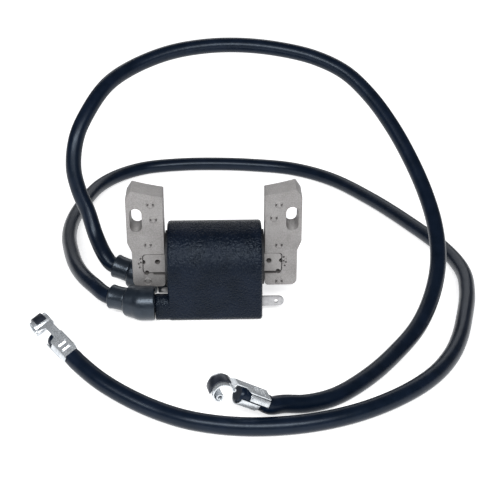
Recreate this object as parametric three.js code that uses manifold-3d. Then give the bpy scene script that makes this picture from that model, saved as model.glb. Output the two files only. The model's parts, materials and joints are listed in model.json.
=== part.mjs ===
// Twin-lead magneto ignition coil for a small opposed-twin engine. Millimetres, +Z up.
// X runs from one laminated leg to the other, Y from the front of the coil to its back.
// The origin is on the surface that the coil stands on, under the middle of the legs.
import * as THREE from 'three';
import { mergeVertices } from 'three/addons/utils/BufferGeometryUtils.js';
import Module from 'manifold-3d';

const wasm = await Module();
wasm.setup();

// ---- Driving dimensions ----

// Clearances
const GAP = 0.3; // between pieces that fit into each other
const CUT_PAST = 1; // how far a cutting tool runs past the face that it opens

// Coil case: an arch-topped box, open at the back, where the resin is poured
const CASE_WIDTH = 40;
const CASE_DEPTH = 32;
const CASE_WALL = 1.4;
const CASE_FOOT_RADIUS = 3;
const RESIN_RECESS = 0.8;

// Laminated core: a bar through the coil and two legs
const CORE_AXIS_HEIGHT = 23;
const CORE_BAR_HEIGHT = 8.4;
const STACK_DEPTH = 11.1;
const LEG_TO_CASE = 1.2;
const LEG_WIDTH = 15.6;
const LEG_FOOT_WIDTH = 13.8;
const LEG_BOTTOM = 12;
const LEG_STEP_LOW = 28.8;
const LEG_STEP_HIGH = 32.6;
const LEG_FOOT_RADIUS_OUTER = 2.8;
const LEG_FOOT_RADIUS_INNER = 1.6;
const POLE_INNER_HEIGHT = 54;
const POLE_RADIUS = 127; // the flywheel's magnet circle
const POLE_CHAMFER_WIDTH = 2.4;
const POLE_CHAMFER_HEIGHT = 3.8;
const SLOT_WIDTH = 5;
const SLOT_LENGTH = 10.6;
const SLOT_HEIGHT = 43.4; // of its middle
const SLOT_TO_OUTER_EDGE = 4.1;
const TONGUE_LENGTH_LEFT = 9.2; // how far the bar reaches into each leg
const TONGUE_LENGTH_RIGHT = 7.2;
const TONGUE_CORNER_RADIUS = 1.3;
const TONGUE_HOLE_RADIUS = 1.05;
const TONGUE_HOLE_INSET_LEFT = 3.1; // from the leg's inner edge
const TONGUE_HOLE_INSET_RIGHT = 1.8;
const TONGUE_HOLE_RISE = 0.9;
const LOCK_RADIUS = 1.15;
const RELIEF_SLOT_HEIGHT = 0.8;
const RELIEF_SLOT_LENGTH = 5;

// Windings, each a rounded tube around the bar
const BOBBIN_WALL = 0.8;
const BOBBIN_CORNER = 0.4; // radius, inside
const BOBBIN_FLANGE_RADIUS = 11.9;
const BOBBIN_FLANGE_THICKNESS = 2;
const BOBBIN_FLANGE_PROUD = 0.9; // past the side of the case
const RESIN_COVER = 1.65; // the least resin outside the windings
const PRIMARY_SHARE = 0.6; // of the room that the two windings fill
const TRIGGER_WIDTH = 6;
const SLEEVE_THICKNESS = 0.4;
const SECONDARY_WALL = 0.6;
const SECONDARY_FLANGE = 0.5;
const SECONDARY_FLANGE_THICKNESS = 0.7;
const SECONDARY_SECTIONS = 4;
const SECONDARY_END_INSET = 1.6; // from the inside of the case's side walls
const WINDING_FLOOR = 9.5; // height that the windings stay above, for the module's sake
const CORNER_GROWTH = 5 / 3; // of the primary winding's corner radius, over its thickness

// High-voltage towers on the left side, one at the front and one at the back
const TOWER_RADIUS = 4;
const TOWER_HEIGHT = 7.5; // of its axis
const TOWER_INSET = 0.2; // behind the case's front and back faces
const TOWER_BLOCK_LENGTH = 5.4;
const TOWER_FOOT_RADIUS = 3;
const SPIGOT_LENGTH = 6;
const SPIGOT_RADIUS = 3.7;
const CONTACT_RADIUS = 0.8;
const CONTACT_TAIL = 5; // inside the case

// Elbow boots over the towers, and the collars that the leads pass through
const BOOT_RADIUS = 7.4;
const BOOT_BEND_PAST = 5.6; // from the tower's end to where the boot's axis turns
const BOOT_NOSE_RADIUS = 6.3;
const BOOT_NOSE_END = 6.8; // from the bend, along the lead
const COLLAR_LENGTH = 7.6;
const COLLAR_STRAIGHT = 2; // of the lead, past the collar
const COLLAR_RADIUS = 5.3;
const LEAD_SEAT = 2.6; // from the bend to the lead's end in the boot

// Leads
const LEAD_RADIUS = 3.5;
const LEAD_SIDES = 10;
const LEAD_STEPS = 60;

// Spark plug terminals, measured along the lead from the crimp's open end
const CRIMP_LENGTH = 8.8;
const SHEET = 0.5;
const CRIMP_SEAM_ANGLE = 65; // degrees round from the strip
const CRIMP_SEAM_HALF_WIDTH = 5; // degrees
const STRIP_WIDTH = 5.9;
const STRIP_FROM = 0.6;
const STRIP_BEND = 14.6; // where the strip turns down to the head
const STRIP_SLOPE_LENGTH = 3.5;
const STRIP_DROP = 1.5;
const NECK_FROM = 9.8; // the strip is cut away on one side here
const NECK_TO = 16;
const NECK_EDGE = 0.6; // from the lead's axis to the cut
const LEAD_TIP = 12.4;
const HEAD_FORWARD = 19.8;
const HEAD_RISE = -0.42;
const HEAD_INNER_RADIUS = 3.36;
const HEAD_WIDTH = 7.38;
const HEAD_FROM = -80; // degrees, from straight ahead
const HEAD_TO = 138;
const CURL_RADIUS = 1.6; // rolled inwards at the head's front end
const LIP_RADIUS = 0.6; // at the head's back end
const CLIP_THICKNESS = 0.6;
const CLIP_WIDTH = 4.4;
const CLIP_FROM = -36;
const CLIP_TO = 104;

// Module inside the case's foot
const BOARD_LENGTH = 27;
const BOARD_DEPTH = 17;
const BOARD_THICKNESS = 1.2;
const BOARD_HEIGHT = 3.6;
const TRANSISTOR_SIZE = [9, 6.5, 3.2];
const TRANSISTOR_PLACE = [2, 4]; // X and Y of its middle on the board
const DRIVER_SIZE = [4, 4, 2.4];
const DRIVER_PLACE = [-8, 4];
const RESISTOR_RADIUS = 1;
const RESISTOR_LENGTH = 6;
const RESISTOR_PLACES = [[-9, -3.5], [-5, -3.5]];

// Metal tabs
const KILL_TAB_WIDTH = 4.75; // a 3/16 inch push-on blade
const KILL_TAB_THICKNESS = 0.8;
const KILL_TAB_END = 29.5;
const KILL_TAB_Y = -8;
const KILL_TAB_HEIGHT = 5.7;
const KILL_TAB_TAIL = 4.5; // inside the case's side wall
const KILL_TAB_HOLE_RADIUS = 0.8;
const KILL_TAB_HOLE_INSET = 3.4;
const GROUND_TAB_WIDTH = 3.8;
const GROUND_TAB_THICKNESS = 0.8;
const GROUND_TAB_REACH = 3; // past the case's side
const GROUND_TAB_FROM_TOWER = 4.5; // from the front tower's axis, backwards
const GROUND_TAB_BELOW_LEG = 0.4;

// The leads' routes below hold for boots that bend here; their starts move with the boots
const LAID_BEND = { x: -31, y: 11.8 };
const FREE_AFTER = 6; // route points; past these a lead stays where it lies

// Where each lead runs: straight out of its collar, then free, then straight through its crimp
const LEADS = [
  {
    name: 'front',
    side: -1,
    direction: [-0.924, 0.381, 0.027],
    terminal: { start: [-54.6, -62.7, 13.1], heading: 133.9, pitch: 19, roll: -23 },
    // Lies on the surface: back past the coil, round behind it, and forward to the left front
    route: [
      [-52.7, 2.2, 8.7], [-57.7, 10.4, 8.6], [-62.3, 21.6, 8], [-66.6, 38.4, 6.7], [-70, 58.4, 5.1],
      [-70.4, 79, 3.8], [-67.2, 99.5, 3.6], [-60.9, 121, 3.6], [-51.4, 134.8, 3.6],
      [-38, 144.4, 3.6], [-19.2, 148.6, 3.6], [1, 149, 3.6], [22, 146.5, 3.6], [42.5, 140.8, 3.6],
      [61.9, 126.4, 3.6], [80.1, 100.5, 3.6], [95.5, 71.5, 3.6], [108.4, 41.6, 3.6],
      [112.6, 20, 3.6], [110.6, 0, 3.6], [104.9, -22.4, 3.6], [99.9, -38, 3.6], [93.7, -51.7, 3.6],
      [84.6, -65, 3.6], [71.2, -77.5, 3.6], [53.1, -88.5, 3.6], [33, -95, 3.6], [11, -96.4, 3.6],
      [-8, -92.4, 3.6], [-21.4, -86, 4], [-33, -80, 6.2], [-43.8, -73, 9.2],
    ],
  },
  {
    name: 'rear',
    side: 1,
    direction: [-0.905, 0.379, 0.194],
    terminal: { start: [17.7, -90.4, 9.7], heading: 199.2, pitch: 33.6, roll: -6 },
    // Springs up in an arch behind the coil, comes down on the right and rests on the surface
    route: [
      [-49.2, 20.9, 13.6], [-53.6, 28.2, 20], [-57, 33.4, 29.3], [-60.9, 36.6, 38.6],
      [-63, 40, 48.6], [-61.4, 45.6, 60.8], [-56.6, 53.2, 69.9], [-48.6, 65, 78.4],
      [-37.6, 76.4, 83], [-21, 85, 87.2], [-3.6, 90, 88.8], [14, 91.8, 88.6], [32, 89.3, 87.2],
      [48.4, 84.4, 84.4], [62, 77.4, 79.4], [72.9, 67.7, 71.1], [82, 55.6, 60.8],
      [89.1, 43.2, 49.9], [94.4, 29.4, 39.2], [97, 14, 29.6], [96.4, -1, 20.6], [91.8, -17, 13.4],
      [83.6, -33.6, 7.6], [72, -49.4, 4.4], [58.4, -66, 3.6], [44.6, -78.4, 3.6],
      [33.8, -83.6, 4.4], [25.2, -86.6, 6.5],
    ],
  },
];

// ---- Lengths that follow from the driving dimensions ----

const CASE_HALF = CASE_WIDTH / 2;
const CASE_FACE = CASE_DEPTH / 2;
const CAVITY_HALF = CASE_HALF - CASE_WALL;
const CAVITY_FACE = CASE_FACE - CASE_WALL;
const RESIN_HALF = CAVITY_HALF - GAP;
const SECONDARY_HALF = CAVITY_HALF - SECONDARY_END_INSET;
const LEG_INNER = CASE_HALF + LEG_TO_CASE;
const LEG_OUTER = LEG_INNER + LEG_WIDTH;
const LEG_FOOT_OUTER = LEG_INNER + LEG_FOOT_WIDTH;
const TONGUE_TOP = CORE_AXIS_HEIGHT + CORE_BAR_HEIGHT / 2;
const TONGUE_BOTTOM = CORE_AXIS_HEIGHT - CORE_BAR_HEIGHT / 2;
const TOWER_IN_CORNER = CASE_FACE - TOWER_INSET - TOWER_RADIUS;
const BOOT_PAST_LEG = STACK_DEPTH / 2 + Math.sqrt(
  (BOOT_RADIUS + GAP) ** 2 - (LEG_BOTTOM - TOWER_HEIGHT) ** 2);
const TOWER_Y = Math.max(TOWER_IN_CORNER, BOOT_PAST_LEG); // in the corner, or further out for the boots
const TOWER_END = CASE_HALF + TOWER_BLOCK_LENGTH;
const GROUND_TAB_Y = -TOWER_Y + GROUND_TAB_FROM_TOWER;
const BOOT_BEND_X = -TOWER_END - BOOT_BEND_PAST;
const CRIMP_INNER = LEAD_RADIUS + GAP;
const CRIMP_OUTER = CRIMP_INNER + SHEET;
const HEAD_OUTER_RADIUS = HEAD_INNER_RADIUS + SHEET;
const CLIP_INNER_RADIUS = HEAD_OUTER_RADIUS + GAP;

// ---- Building helpers ----

const AXES = {
  X: new THREE.Matrix4().makeBasis(
    new THREE.Vector3(0, 1, 0), new THREE.Vector3(0, 0, 1), new THREE.Vector3(1, 0, 0)),
  Y: new THREE.Matrix4().makeBasis(
    new THREE.Vector3(1, 0, 0), new THREE.Vector3(0, 0, 1), new THREE.Vector3(0, -1, 0)),
  Z: new THREE.Matrix4(),
};

function toSolid(geometry) {
  const bare = geometry.clone();
  bare.deleteAttribute('normal');
  bare.deleteAttribute('uv');
  const merged = mergeVertices(bare, 1e-4);
  const vertProperties = new Float32Array(merged.attributes.position.array);
  const triVerts = new Uint32Array(merged.index.array);
  return new wasm.Manifold(new wasm.Mesh({ numProp: 3, vertProperties, triVerts }));
}

function toGeometry(solid) {
  const mesh = solid.getMesh();
  const geometry = new THREE.BufferGeometry();
  geometry.setAttribute('position', new THREE.BufferAttribute(mesh.vertProperties, 3));
  geometry.setIndex(new THREE.BufferAttribute(mesh.triVerts, 1));
  return geometry;
}

// A prism of a shape along X (shape in Y, Z), Y (shape in X, Z) or Z (shape in X, Y)
function prism(shape, axis, from, to, curveSegments = 10) {
  const geometry = new THREE.ExtrudeGeometry(
    shape, { depth: to - from, bevelEnabled: false, curveSegments });
  if (axis === 'Y') geometry.translate(0, 0, -to);
  else geometry.translate(0, 0, from);
  geometry.applyMatrix4(AXES[axis]);
  return toSolid(geometry);
}

function block(x0, x1, y0, y1, z0, z1) {
  const geometry = new THREE.BoxGeometry(x1 - x0, y1 - y0, z1 - z0);
  geometry.translate((x0 + x1) / 2, (y0 + y1) / 2, (z0 + z1) / 2);
  return toSolid(geometry);
}

// A round bar along X
function barX(radius, x0, x1, y, z, sides = 20) {
  const geometry = new THREE.CylinderGeometry(radius, radius, x1 - x0, sides);
  geometry.rotateZ(Math.PI / 2);
  geometry.translate((x0 + x1) / 2, y, z);
  return toSolid(geometry);
}

// A round bar along Y
function barY(radius, y0, y1, x, z, sides = 14) {
  const geometry = new THREE.CylinderGeometry(radius, radius, y1 - y0, sides);
  geometry.translate(x, (y0 + y1) / 2, z);
  return toSolid(geometry);
}

function radians(degrees) {
  return degrees * Math.PI / 180;
}

// A rectangle with round corners, from its middle and half sizes
function roundedRect(middleX, middleY, halfX, halfY, radius, target = new THREE.Shape()) {
  const left = middleX - halfX;
  const right = middleX + halfX;
  const low = middleY - halfY;
  const high = middleY + halfY;
  target.moveTo(left + radius, low);
  target.lineTo(right - radius, low);
  target.absarc(right - radius, low + radius, radius, -Math.PI / 2, 0);
  target.lineTo(right, high - radius);
  target.absarc(right - radius, high - radius, radius, 0, Math.PI / 2);
  target.lineTo(left + radius, high);
  target.absarc(left + radius, high - radius, radius, Math.PI / 2, Math.PI);
  target.lineTo(left, low + radius);
  target.absarc(left + radius, low + radius, radius, Math.PI, Math.PI * 1.5);
  return target;
}

// A tube round the core bar, between two of its layers' surfaces
function windingTube(inside, outside, from, to) {
  const shape = roundedRect(
    0, CORE_AXIS_HEIGHT, outside.halfY, outside.halfZ, outside.corner);
  shape.holes.push(roundedRect(
    0, CORE_AXIS_HEIGHT, inside.halfY, inside.halfZ, inside.corner, new THREE.Path()));
  return prism(shape, 'X', from, to, 3);
}

// A band of sheet bent round a circle, standing in X and Z
function arcBand(x, z, inner, outer, fromDegrees, toDegrees, y0, y1, curveSegments = 14) {
  const shape = new THREE.Shape();
  shape.absarc(x, z, outer, radians(fromDegrees), radians(toDegrees), false);
  shape.absarc(x, z, inner, radians(toDegrees), radians(fromDegrees), true);
  shape.closePath();
  return prism(shape, 'Y', y0, y1, curveSegments);
}

const model = new THREE.Group();

function add(name, solid, colour, roughness, metalness, parent = model) {
  const material = new THREE.MeshStandardMaterial({ color: colour, roughness, metalness });
  const mesh = new THREE.Mesh(toGeometry(solid), material);
  mesh.name = name;
  parent.add(mesh);
  return mesh;
}

// ---- Surfaces of the nested windings, from the bar outwards ----

// The surface at a distance outside another one
function outwards(surface, distance, corner = surface.corner + distance) {
  return { halfY: surface.halfY + distance, halfZ: surface.halfZ + distance, corner };
}

const bobbinInside = {
  halfY: STACK_DEPTH / 2 + GAP,
  halfZ: CORE_BAR_HEIGHT / 2 + GAP,
  corner: BOBBIN_CORNER,
};
const bobbinOutside = outwards(bobbinInside, BOBBIN_WALL);
const primaryInside = outwards(bobbinOutside, GAP);
const layersBetween = SLEEVE_THICKNESS + SECONDARY_WALL + SECONDARY_FLANGE + 4 * GAP;
const windingRoom = Math.min(
  CAVITY_FACE - RESIN_COVER - primaryInside.halfY,
  CORE_AXIS_HEIGHT - WINDING_FLOOR - primaryInside.halfZ,
) - GAP - layersBetween;
const primaryThickness = windingRoom * PRIMARY_SHARE;
const secondaryThickness = windingRoom - primaryThickness;
const primaryOutside = outwards(
  primaryInside, primaryThickness, primaryInside.corner + primaryThickness * CORNER_GROWTH);
const sleeveInside = outwards(primaryOutside, GAP);
const sleeveOutside = outwards(sleeveInside, SLEEVE_THICKNESS);
const secondaryBobbinInside = outwards(sleeveOutside, GAP);
const secondaryBobbinOutside = outwards(secondaryBobbinInside, SECONDARY_WALL);
const secondaryInside = outwards(secondaryBobbinOutside, GAP);
const secondaryOutside = outwards(secondaryInside, secondaryThickness);
const flangeEdge = outwards(secondaryOutside, SECONDARY_FLANGE);
const windingBore = outwards(flangeEdge, GAP);

// ---- Coil case ----

function caseOutline() {
  const shape = new THREE.Shape();
  shape.moveTo(-CASE_FACE + CASE_FOOT_RADIUS, 0);
  shape.lineTo(CASE_FACE - CASE_FOOT_RADIUS, 0);
  shape.absarc(CASE_FACE - CASE_FOOT_RADIUS, CASE_FOOT_RADIUS, CASE_FOOT_RADIUS, -Math.PI / 2, 0);
  shape.lineTo(CASE_FACE, CORE_AXIS_HEIGHT);
  shape.absarc(0, CORE_AXIS_HEIGHT, CASE_FACE, 0, Math.PI);
  shape.lineTo(-CASE_FACE, CASE_FOOT_RADIUS);
  shape.absarc(-CASE_FACE + CASE_FOOT_RADIUS, CASE_FOOT_RADIUS, CASE_FOOT_RADIUS,
    Math.PI, Math.PI * 1.5);
  return shape;
}

// The inside of the case in Y and Z, drawn back to the plane backY
function insideOutline(inset, backY) {
  const face = CAVITY_FACE - inset;
  const shape = new THREE.Shape();
  shape.moveTo(-face, CASE_WALL + inset);
  shape.lineTo(backY, CASE_WALL + inset);
  shape.lineTo(backY, CORE_AXIS_HEIGHT - inset);
  shape.lineTo(face, CORE_AXIS_HEIGHT - inset);
  shape.absarc(0, CORE_AXIS_HEIGHT, face, 0, Math.PI);
  return shape;
}

// A tower's foot: round on top, straight down to the case's foot
function towerFootOutline(y) {
  const shape = new THREE.Shape();
  const corner = TOWER_FOOT_RADIUS;
  const low = TOWER_INSET + corner;
  shape.moveTo(y - TOWER_RADIUS, low);
  shape.absarc(y - TOWER_RADIUS + corner, low, corner, Math.PI, Math.PI * 1.5);
  shape.absarc(y + TOWER_RADIUS - corner, low, corner, -Math.PI / 2, 0);
  shape.lineTo(y + TOWER_RADIUS, TOWER_HEIGHT);
  shape.absarc(y, TOWER_HEIGHT, TOWER_RADIUS, 0, Math.PI);
  return shape;
}

function makeCase() {
  let solid = prism(caseOutline(), 'X', -CASE_HALF, CASE_HALF, 14);
  for (const side of [-1, 1]) {
    const y = side * TOWER_Y;
    const foot = prism(towerFootOutline(y), 'X', -TOWER_END, -CAVITY_HALF, 6);
    const spigot = barX(SPIGOT_RADIUS, -TOWER_END - SPIGOT_LENGTH, -CAVITY_HALF, y, TOWER_HEIGHT);
    solid = solid.add(foot).add(spigot);
  }
  const cavity = prism(
    insideOutline(0, CASE_FACE + CUT_PAST), 'X', -CAVITY_HALF, CAVITY_HALF, 14);
  const window = barX(BOBBIN_FLANGE_RADIUS + GAP, -CASE_HALF - CUT_PAST, CASE_HALF + CUT_PAST,
    0, CORE_AXIS_HEIGHT, 32);
  solid = solid.subtract(cavity).subtract(window);
  for (const side of [-1, 1]) {
    const bore = barX(CONTACT_RADIUS + GAP, -TOWER_END - SPIGOT_LENGTH - CUT_PAST,
      -CAVITY_HALF + CUT_PAST, side * TOWER_Y, TOWER_HEIGHT, 12);
    solid = solid.subtract(bore);
  }
  return solid.subtract(killTabSpace(CASE_HALF + CUT_PAST)).subtract(groundTabSpace());
}

// ---- Tabs and the spaces that they pass through ----

function killTabSpace(end) {
  return block(
    CAVITY_HALF - KILL_TAB_TAIL - GAP, end,
    KILL_TAB_Y - KILL_TAB_THICKNESS / 2 - GAP, KILL_TAB_Y + KILL_TAB_THICKNESS / 2 + GAP,
    KILL_TAB_HEIGHT - KILL_TAB_WIDTH / 2 - GAP, KILL_TAB_HEIGHT + KILL_TAB_WIDTH / 2 + GAP);
}

function makeKillTab() {
  const half = KILL_TAB_WIDTH / 2;
  const start = CAVITY_HALF - KILL_TAB_TAIL;
  const shape = new THREE.Shape();
  shape.moveTo(start, KILL_TAB_HEIGHT - half);
  shape.lineTo(KILL_TAB_END - half, KILL_TAB_HEIGHT - half);
  shape.absarc(KILL_TAB_END - half, KILL_TAB_HEIGHT, half, -Math.PI / 2, Math.PI / 2);
  shape.lineTo(start, KILL_TAB_HEIGHT + half);
  const hole = new THREE.Path();
  hole.absarc(KILL_TAB_END - KILL_TAB_HOLE_INSET, KILL_TAB_HEIGHT, KILL_TAB_HOLE_RADIUS,
    0, Math.PI * 2);
  shape.holes.push(hole);
  const halfSheet = KILL_TAB_THICKNESS / 2;
  return prism(shape, 'Y', KILL_TAB_Y - halfSheet, KILL_TAB_Y + halfSheet, 8);
}

const groundTabTop = LEG_BOTTOM - GROUND_TAB_BELOW_LEG;
const groundTabLow = groundTabTop - GROUND_TAB_THICKNESS;
const groundTabStart = -SECONDARY_HALF - GAP;

function groundTabSpace() {
  return block(
    -CASE_HALF - CUT_PAST, groundTabStart + GAP,
    GROUND_TAB_Y - GROUND_TAB_WIDTH / 2 - GAP, GROUND_TAB_Y + GROUND_TAB_WIDTH / 2 + GAP,
    groundTabLow - GAP, groundTabTop + GAP);
}

function makeGroundTab() {
  const half = GROUND_TAB_WIDTH / 2;
  const end = -CASE_HALF - GROUND_TAB_REACH + half;
  const shape = new THREE.Shape();
  shape.moveTo(groundTabStart, GROUND_TAB_Y - half);
  shape.lineTo(groundTabStart, GROUND_TAB_Y + half);
  shape.lineTo(end, GROUND_TAB_Y + half);
  shape.absarc(end, GROUND_TAB_Y, half, Math.PI / 2, Math.PI * 1.5);
  return prism(shape, 'Z', groundTabLow, groundTabTop, 8);
}

// ---- Module pieces, on a board in the case's foot ----

const boardTop = BOARD_HEIGHT + BOARD_THICKNESS;
const partsLow = boardTop + GAP;
const modulePocket = {
  halfX: BOARD_LENGTH / 2 + GAP,
  halfY: BOARD_DEPTH / 2 + GAP,
  low: BOARD_HEIGHT - GAP,
};

function onBoard(size, x, y) {
  return block(x - size[0] / 2, x + size[0] / 2, y - size[1] / 2, y + size[1] / 2,
    partsLow, partsLow + size[2]);
}

function makeResistor(x, y) {
  return barY(RESISTOR_RADIUS, y - RESISTOR_LENGTH / 2, y + RESISTOR_LENGTH / 2,
    x, partsLow + RESISTOR_RADIUS, 12);
}

// ---- Resin that fills the case, with room for the windings and the module ----

function makeResin() {
  let solid = prism(
    insideOutline(GAP, CASE_FACE - RESIN_RECESS), 'X', -RESIN_HALF, RESIN_HALF, 14);
  const bore = roundedRect(
    0, CORE_AXIS_HEIGHT, windingBore.halfY, windingBore.halfZ, windingBore.corner);
  solid = solid.subtract(
    prism(bore, 'X', -RESIN_HALF - CUT_PAST, RESIN_HALF + CUT_PAST, 3));
  solid = solid.subtract(block(
    -modulePocket.halfX, modulePocket.halfX, -modulePocket.halfY, modulePocket.halfY,
    modulePocket.low, CORE_AXIS_HEIGHT));
  for (const side of [-1, 1]) {
    solid = solid.subtract(barX(CONTACT_RADIUS + GAP, -CASE_HALF,
      -CAVITY_HALF + CONTACT_TAIL + GAP, side * TOWER_Y, TOWER_HEIGHT, 12));
  }
  return solid.subtract(killTabSpace(CASE_HALF)).subtract(groundTabSpace());
}

// ---- Core ----

// The bar's end in a leg, seen along Y, on the side given by sign
function tongueLength(sign) {
  return sign < 0 ? TONGUE_LENGTH_LEFT : TONGUE_LENGTH_RIGHT;
}

function makeCoreBar() {
  const left = -LEG_INNER - tongueLength(-1);
  const right = LEG_INNER + tongueLength(1);
  const outline = roundedRect((left + right) / 2, CORE_AXIS_HEIGHT, (right - left) / 2,
    CORE_BAR_HEIGHT / 2, TONGUE_CORNER_RADIUS);
  let solid = prism(outline, 'Y', -STACK_DEPTH / 2, STACK_DEPTH / 2, 5);
  for (const sign of [-1, 1]) {
    const end = sign * (LEG_INNER + tongueLength(sign));
    const inset = sign < 0 ? TONGUE_HOLE_INSET_LEFT : TONGUE_HOLE_INSET_RIGHT;
    const hole = sign * (LEG_INNER + inset);
    const height = CORE_AXIS_HEIGHT + TONGUE_HOLE_RISE;
    for (const x of [hole, end]) {
      solid = solid.subtract(barY(TONGUE_HOLE_RADIUS, -STACK_DEPTH, STACK_DEPTH, x, height));
    }
  }
  return solid;
}

function poleHeight(x) {
  const dip = POLE_RADIUS - Math.sqrt(POLE_RADIUS ** 2 - x ** 2);
  const innerDip = POLE_RADIUS - Math.sqrt(POLE_RADIUS ** 2 - LEG_INNER ** 2);
  return POLE_INNER_HEIGHT + dip - innerDip;
}

function legOutline(sign) {
  const shape = new THREE.Shape();
  const poleOuter = LEG_OUTER - POLE_CHAMFER_WIDTH;
  const outline = [];
  outline.push([LEG_INNER, LEG_BOTTOM + LEG_FOOT_RADIUS_INNER]);
  const poleSteps = 4;
  for (let i = 0; i <= poleSteps; i += 1) {
    const x = LEG_INNER + (poleOuter - LEG_INNER) * i / poleSteps;
    outline.push([x, poleHeight(x)]);
  }
  outline.push([LEG_OUTER, poleHeight(poleOuter) - POLE_CHAMFER_HEIGHT]);
  outline.push([LEG_OUTER, LEG_STEP_HIGH]);
  outline.push([LEG_FOOT_OUTER, LEG_STEP_LOW]);
  shape.moveTo(sign * outline[0][0], outline[0][1]);
  for (const [x, z] of outline.slice(1)) shape.lineTo(sign * x, z);
  const cornerSteps = 4;
  const corners = [
    { x: LEG_FOOT_OUTER - LEG_FOOT_RADIUS_OUTER, radius: LEG_FOOT_RADIUS_OUTER, from: 0 },
    { x: LEG_INNER + LEG_FOOT_RADIUS_INNER, radius: LEG_FOOT_RADIUS_INNER, from: -90 },
  ];
  for (const corner of corners) {
    for (let i = 0; i <= cornerSteps; i += 1) {
      const angle = radians(corner.from - 90 * i / cornerSteps);
      shape.lineTo(sign * (corner.x + corner.radius * Math.cos(angle)),
        LEG_BOTTOM + corner.radius * (1 + Math.sin(angle)));
    }
  }
  return shape;
}

function makeLeg(sign) {
  const shape = legOutline(sign);
  const slot = roundedRect(sign * (LEG_OUTER - SLOT_TO_OUTER_EDGE), SLOT_HEIGHT,
    SLOT_WIDTH / 2, SLOT_LENGTH / 2, SLOT_WIDTH / 2 - 0.001, new THREE.Path());
  shape.holes.push(slot);
  let solid = prism(shape, 'Y', -STACK_DEPTH / 2, STACK_DEPTH / 2, 8);
  const reach = tongueLength(sign) + GAP;
  const socket = roundedRect(sign * (LEG_INNER + (reach - CUT_PAST * 3) / 2), CORE_AXIS_HEIGHT,
    (reach + CUT_PAST * 3) / 2, CORE_BAR_HEIGHT / 2 + GAP, TONGUE_CORNER_RADIUS);
  solid = solid.subtract(prism(socket, 'Y', -STACK_DEPTH, STACK_DEPTH, 5));
  const reliefFrom = sign * (LEG_INNER - CUT_PAST);
  const reliefTo = sign * (LEG_INNER + RELIEF_SLOT_LENGTH);
  solid = solid.subtract(block(
    Math.min(reliefFrom, reliefTo), Math.max(reliefFrom, reliefTo), -STACK_DEPTH, STACK_DEPTH,
    TONGUE_BOTTOM - GAP - RELIEF_SLOT_HEIGHT, TONGUE_TOP - CORE_BAR_HEIGHT / 2));
  const lockX = sign * (LEG_INNER + tongueLength(sign) - TONGUE_CORNER_RADIUS);
  return solid.subtract(barY(LOCK_RADIUS, -STACK_DEPTH, STACK_DEPTH, lockX, TONGUE_BOTTOM));
}

// ---- Windings ----

const flangeOutside = CASE_HALF + BOBBIN_FLANGE_PROUD;
const flangeInside = flangeOutside - BOBBIN_FLANGE_THICKNESS;
const windingHalf = flangeInside - GAP;

function makePrimaryBobbin() {
  let solid = windingTube(bobbinInside, bobbinOutside, -flangeOutside, flangeOutside);
  const hole = block(-CASE_WIDTH, CASE_WIDTH, -bobbinInside.halfY, bobbinInside.halfY,
    CORE_AXIS_HEIGHT - bobbinInside.halfZ, CORE_AXIS_HEIGHT + bobbinInside.halfZ);
  for (const side of [-1, 1]) {
    const from = side < 0 ? -flangeOutside : flangeInside;
    const flange = barX(
      BOBBIN_FLANGE_RADIUS, from, from + BOBBIN_FLANGE_THICKNESS, 0, CORE_AXIS_HEIGHT, 32);
    solid = solid.add(flange.subtract(hole));
  }
  return solid;
}

const sectionPitch = (2 * SECONDARY_HALF - SECONDARY_FLANGE_THICKNESS) / SECONDARY_SECTIONS;

function makeSecondaryBobbin() {
  let solid = windingTube(
    secondaryBobbinInside, secondaryBobbinOutside, -SECONDARY_HALF, SECONDARY_HALF);
  for (let i = 0; i <= SECONDARY_SECTIONS; i += 1) {
    const from = -SECONDARY_HALF + i * sectionPitch;
    solid = solid.add(windingTube(
      secondaryBobbinInside, flangeEdge, from, from + SECONDARY_FLANGE_THICKNESS));
  }
  return solid;
}

function makeSecondarySection(index) {
  const from = -SECONDARY_HALF + index * sectionPitch + SECONDARY_FLANGE_THICKNESS + GAP;
  const to = -SECONDARY_HALF + (index + 1) * sectionPitch - GAP;
  return windingTube(secondaryInside, secondaryOutside, from, to);
}

// ---- Boots, collars, leads and terminals ----

// A round solid along a direction, from a profile of radii and distances from the origin
function latheAlong(origin, direction, profile, sides = 20) {
  const geometry = new THREE.LatheGeometry(
    profile.map(([radius, along]) => new THREE.Vector2(radius, along)), sides);
  geometry.applyQuaternion(
    new THREE.Quaternion().setFromUnitVectors(new THREE.Vector3(0, 1, 0), direction));
  geometry.translate(origin.x, origin.y, origin.z);
  return toSolid(geometry);
}

function rodAlong(origin, direction, from, to, radius) {
  return latheAlong(origin, direction, [[0, from], [radius, from], [radius, to], [0, to]]);
}

function tubeAlong(origin, direction, from, to, inner, outer) {
  return latheAlong(origin, direction,
    [[inner, from], [outer, from], [outer, to], [inner, to], [inner, from]]);
}

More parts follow.
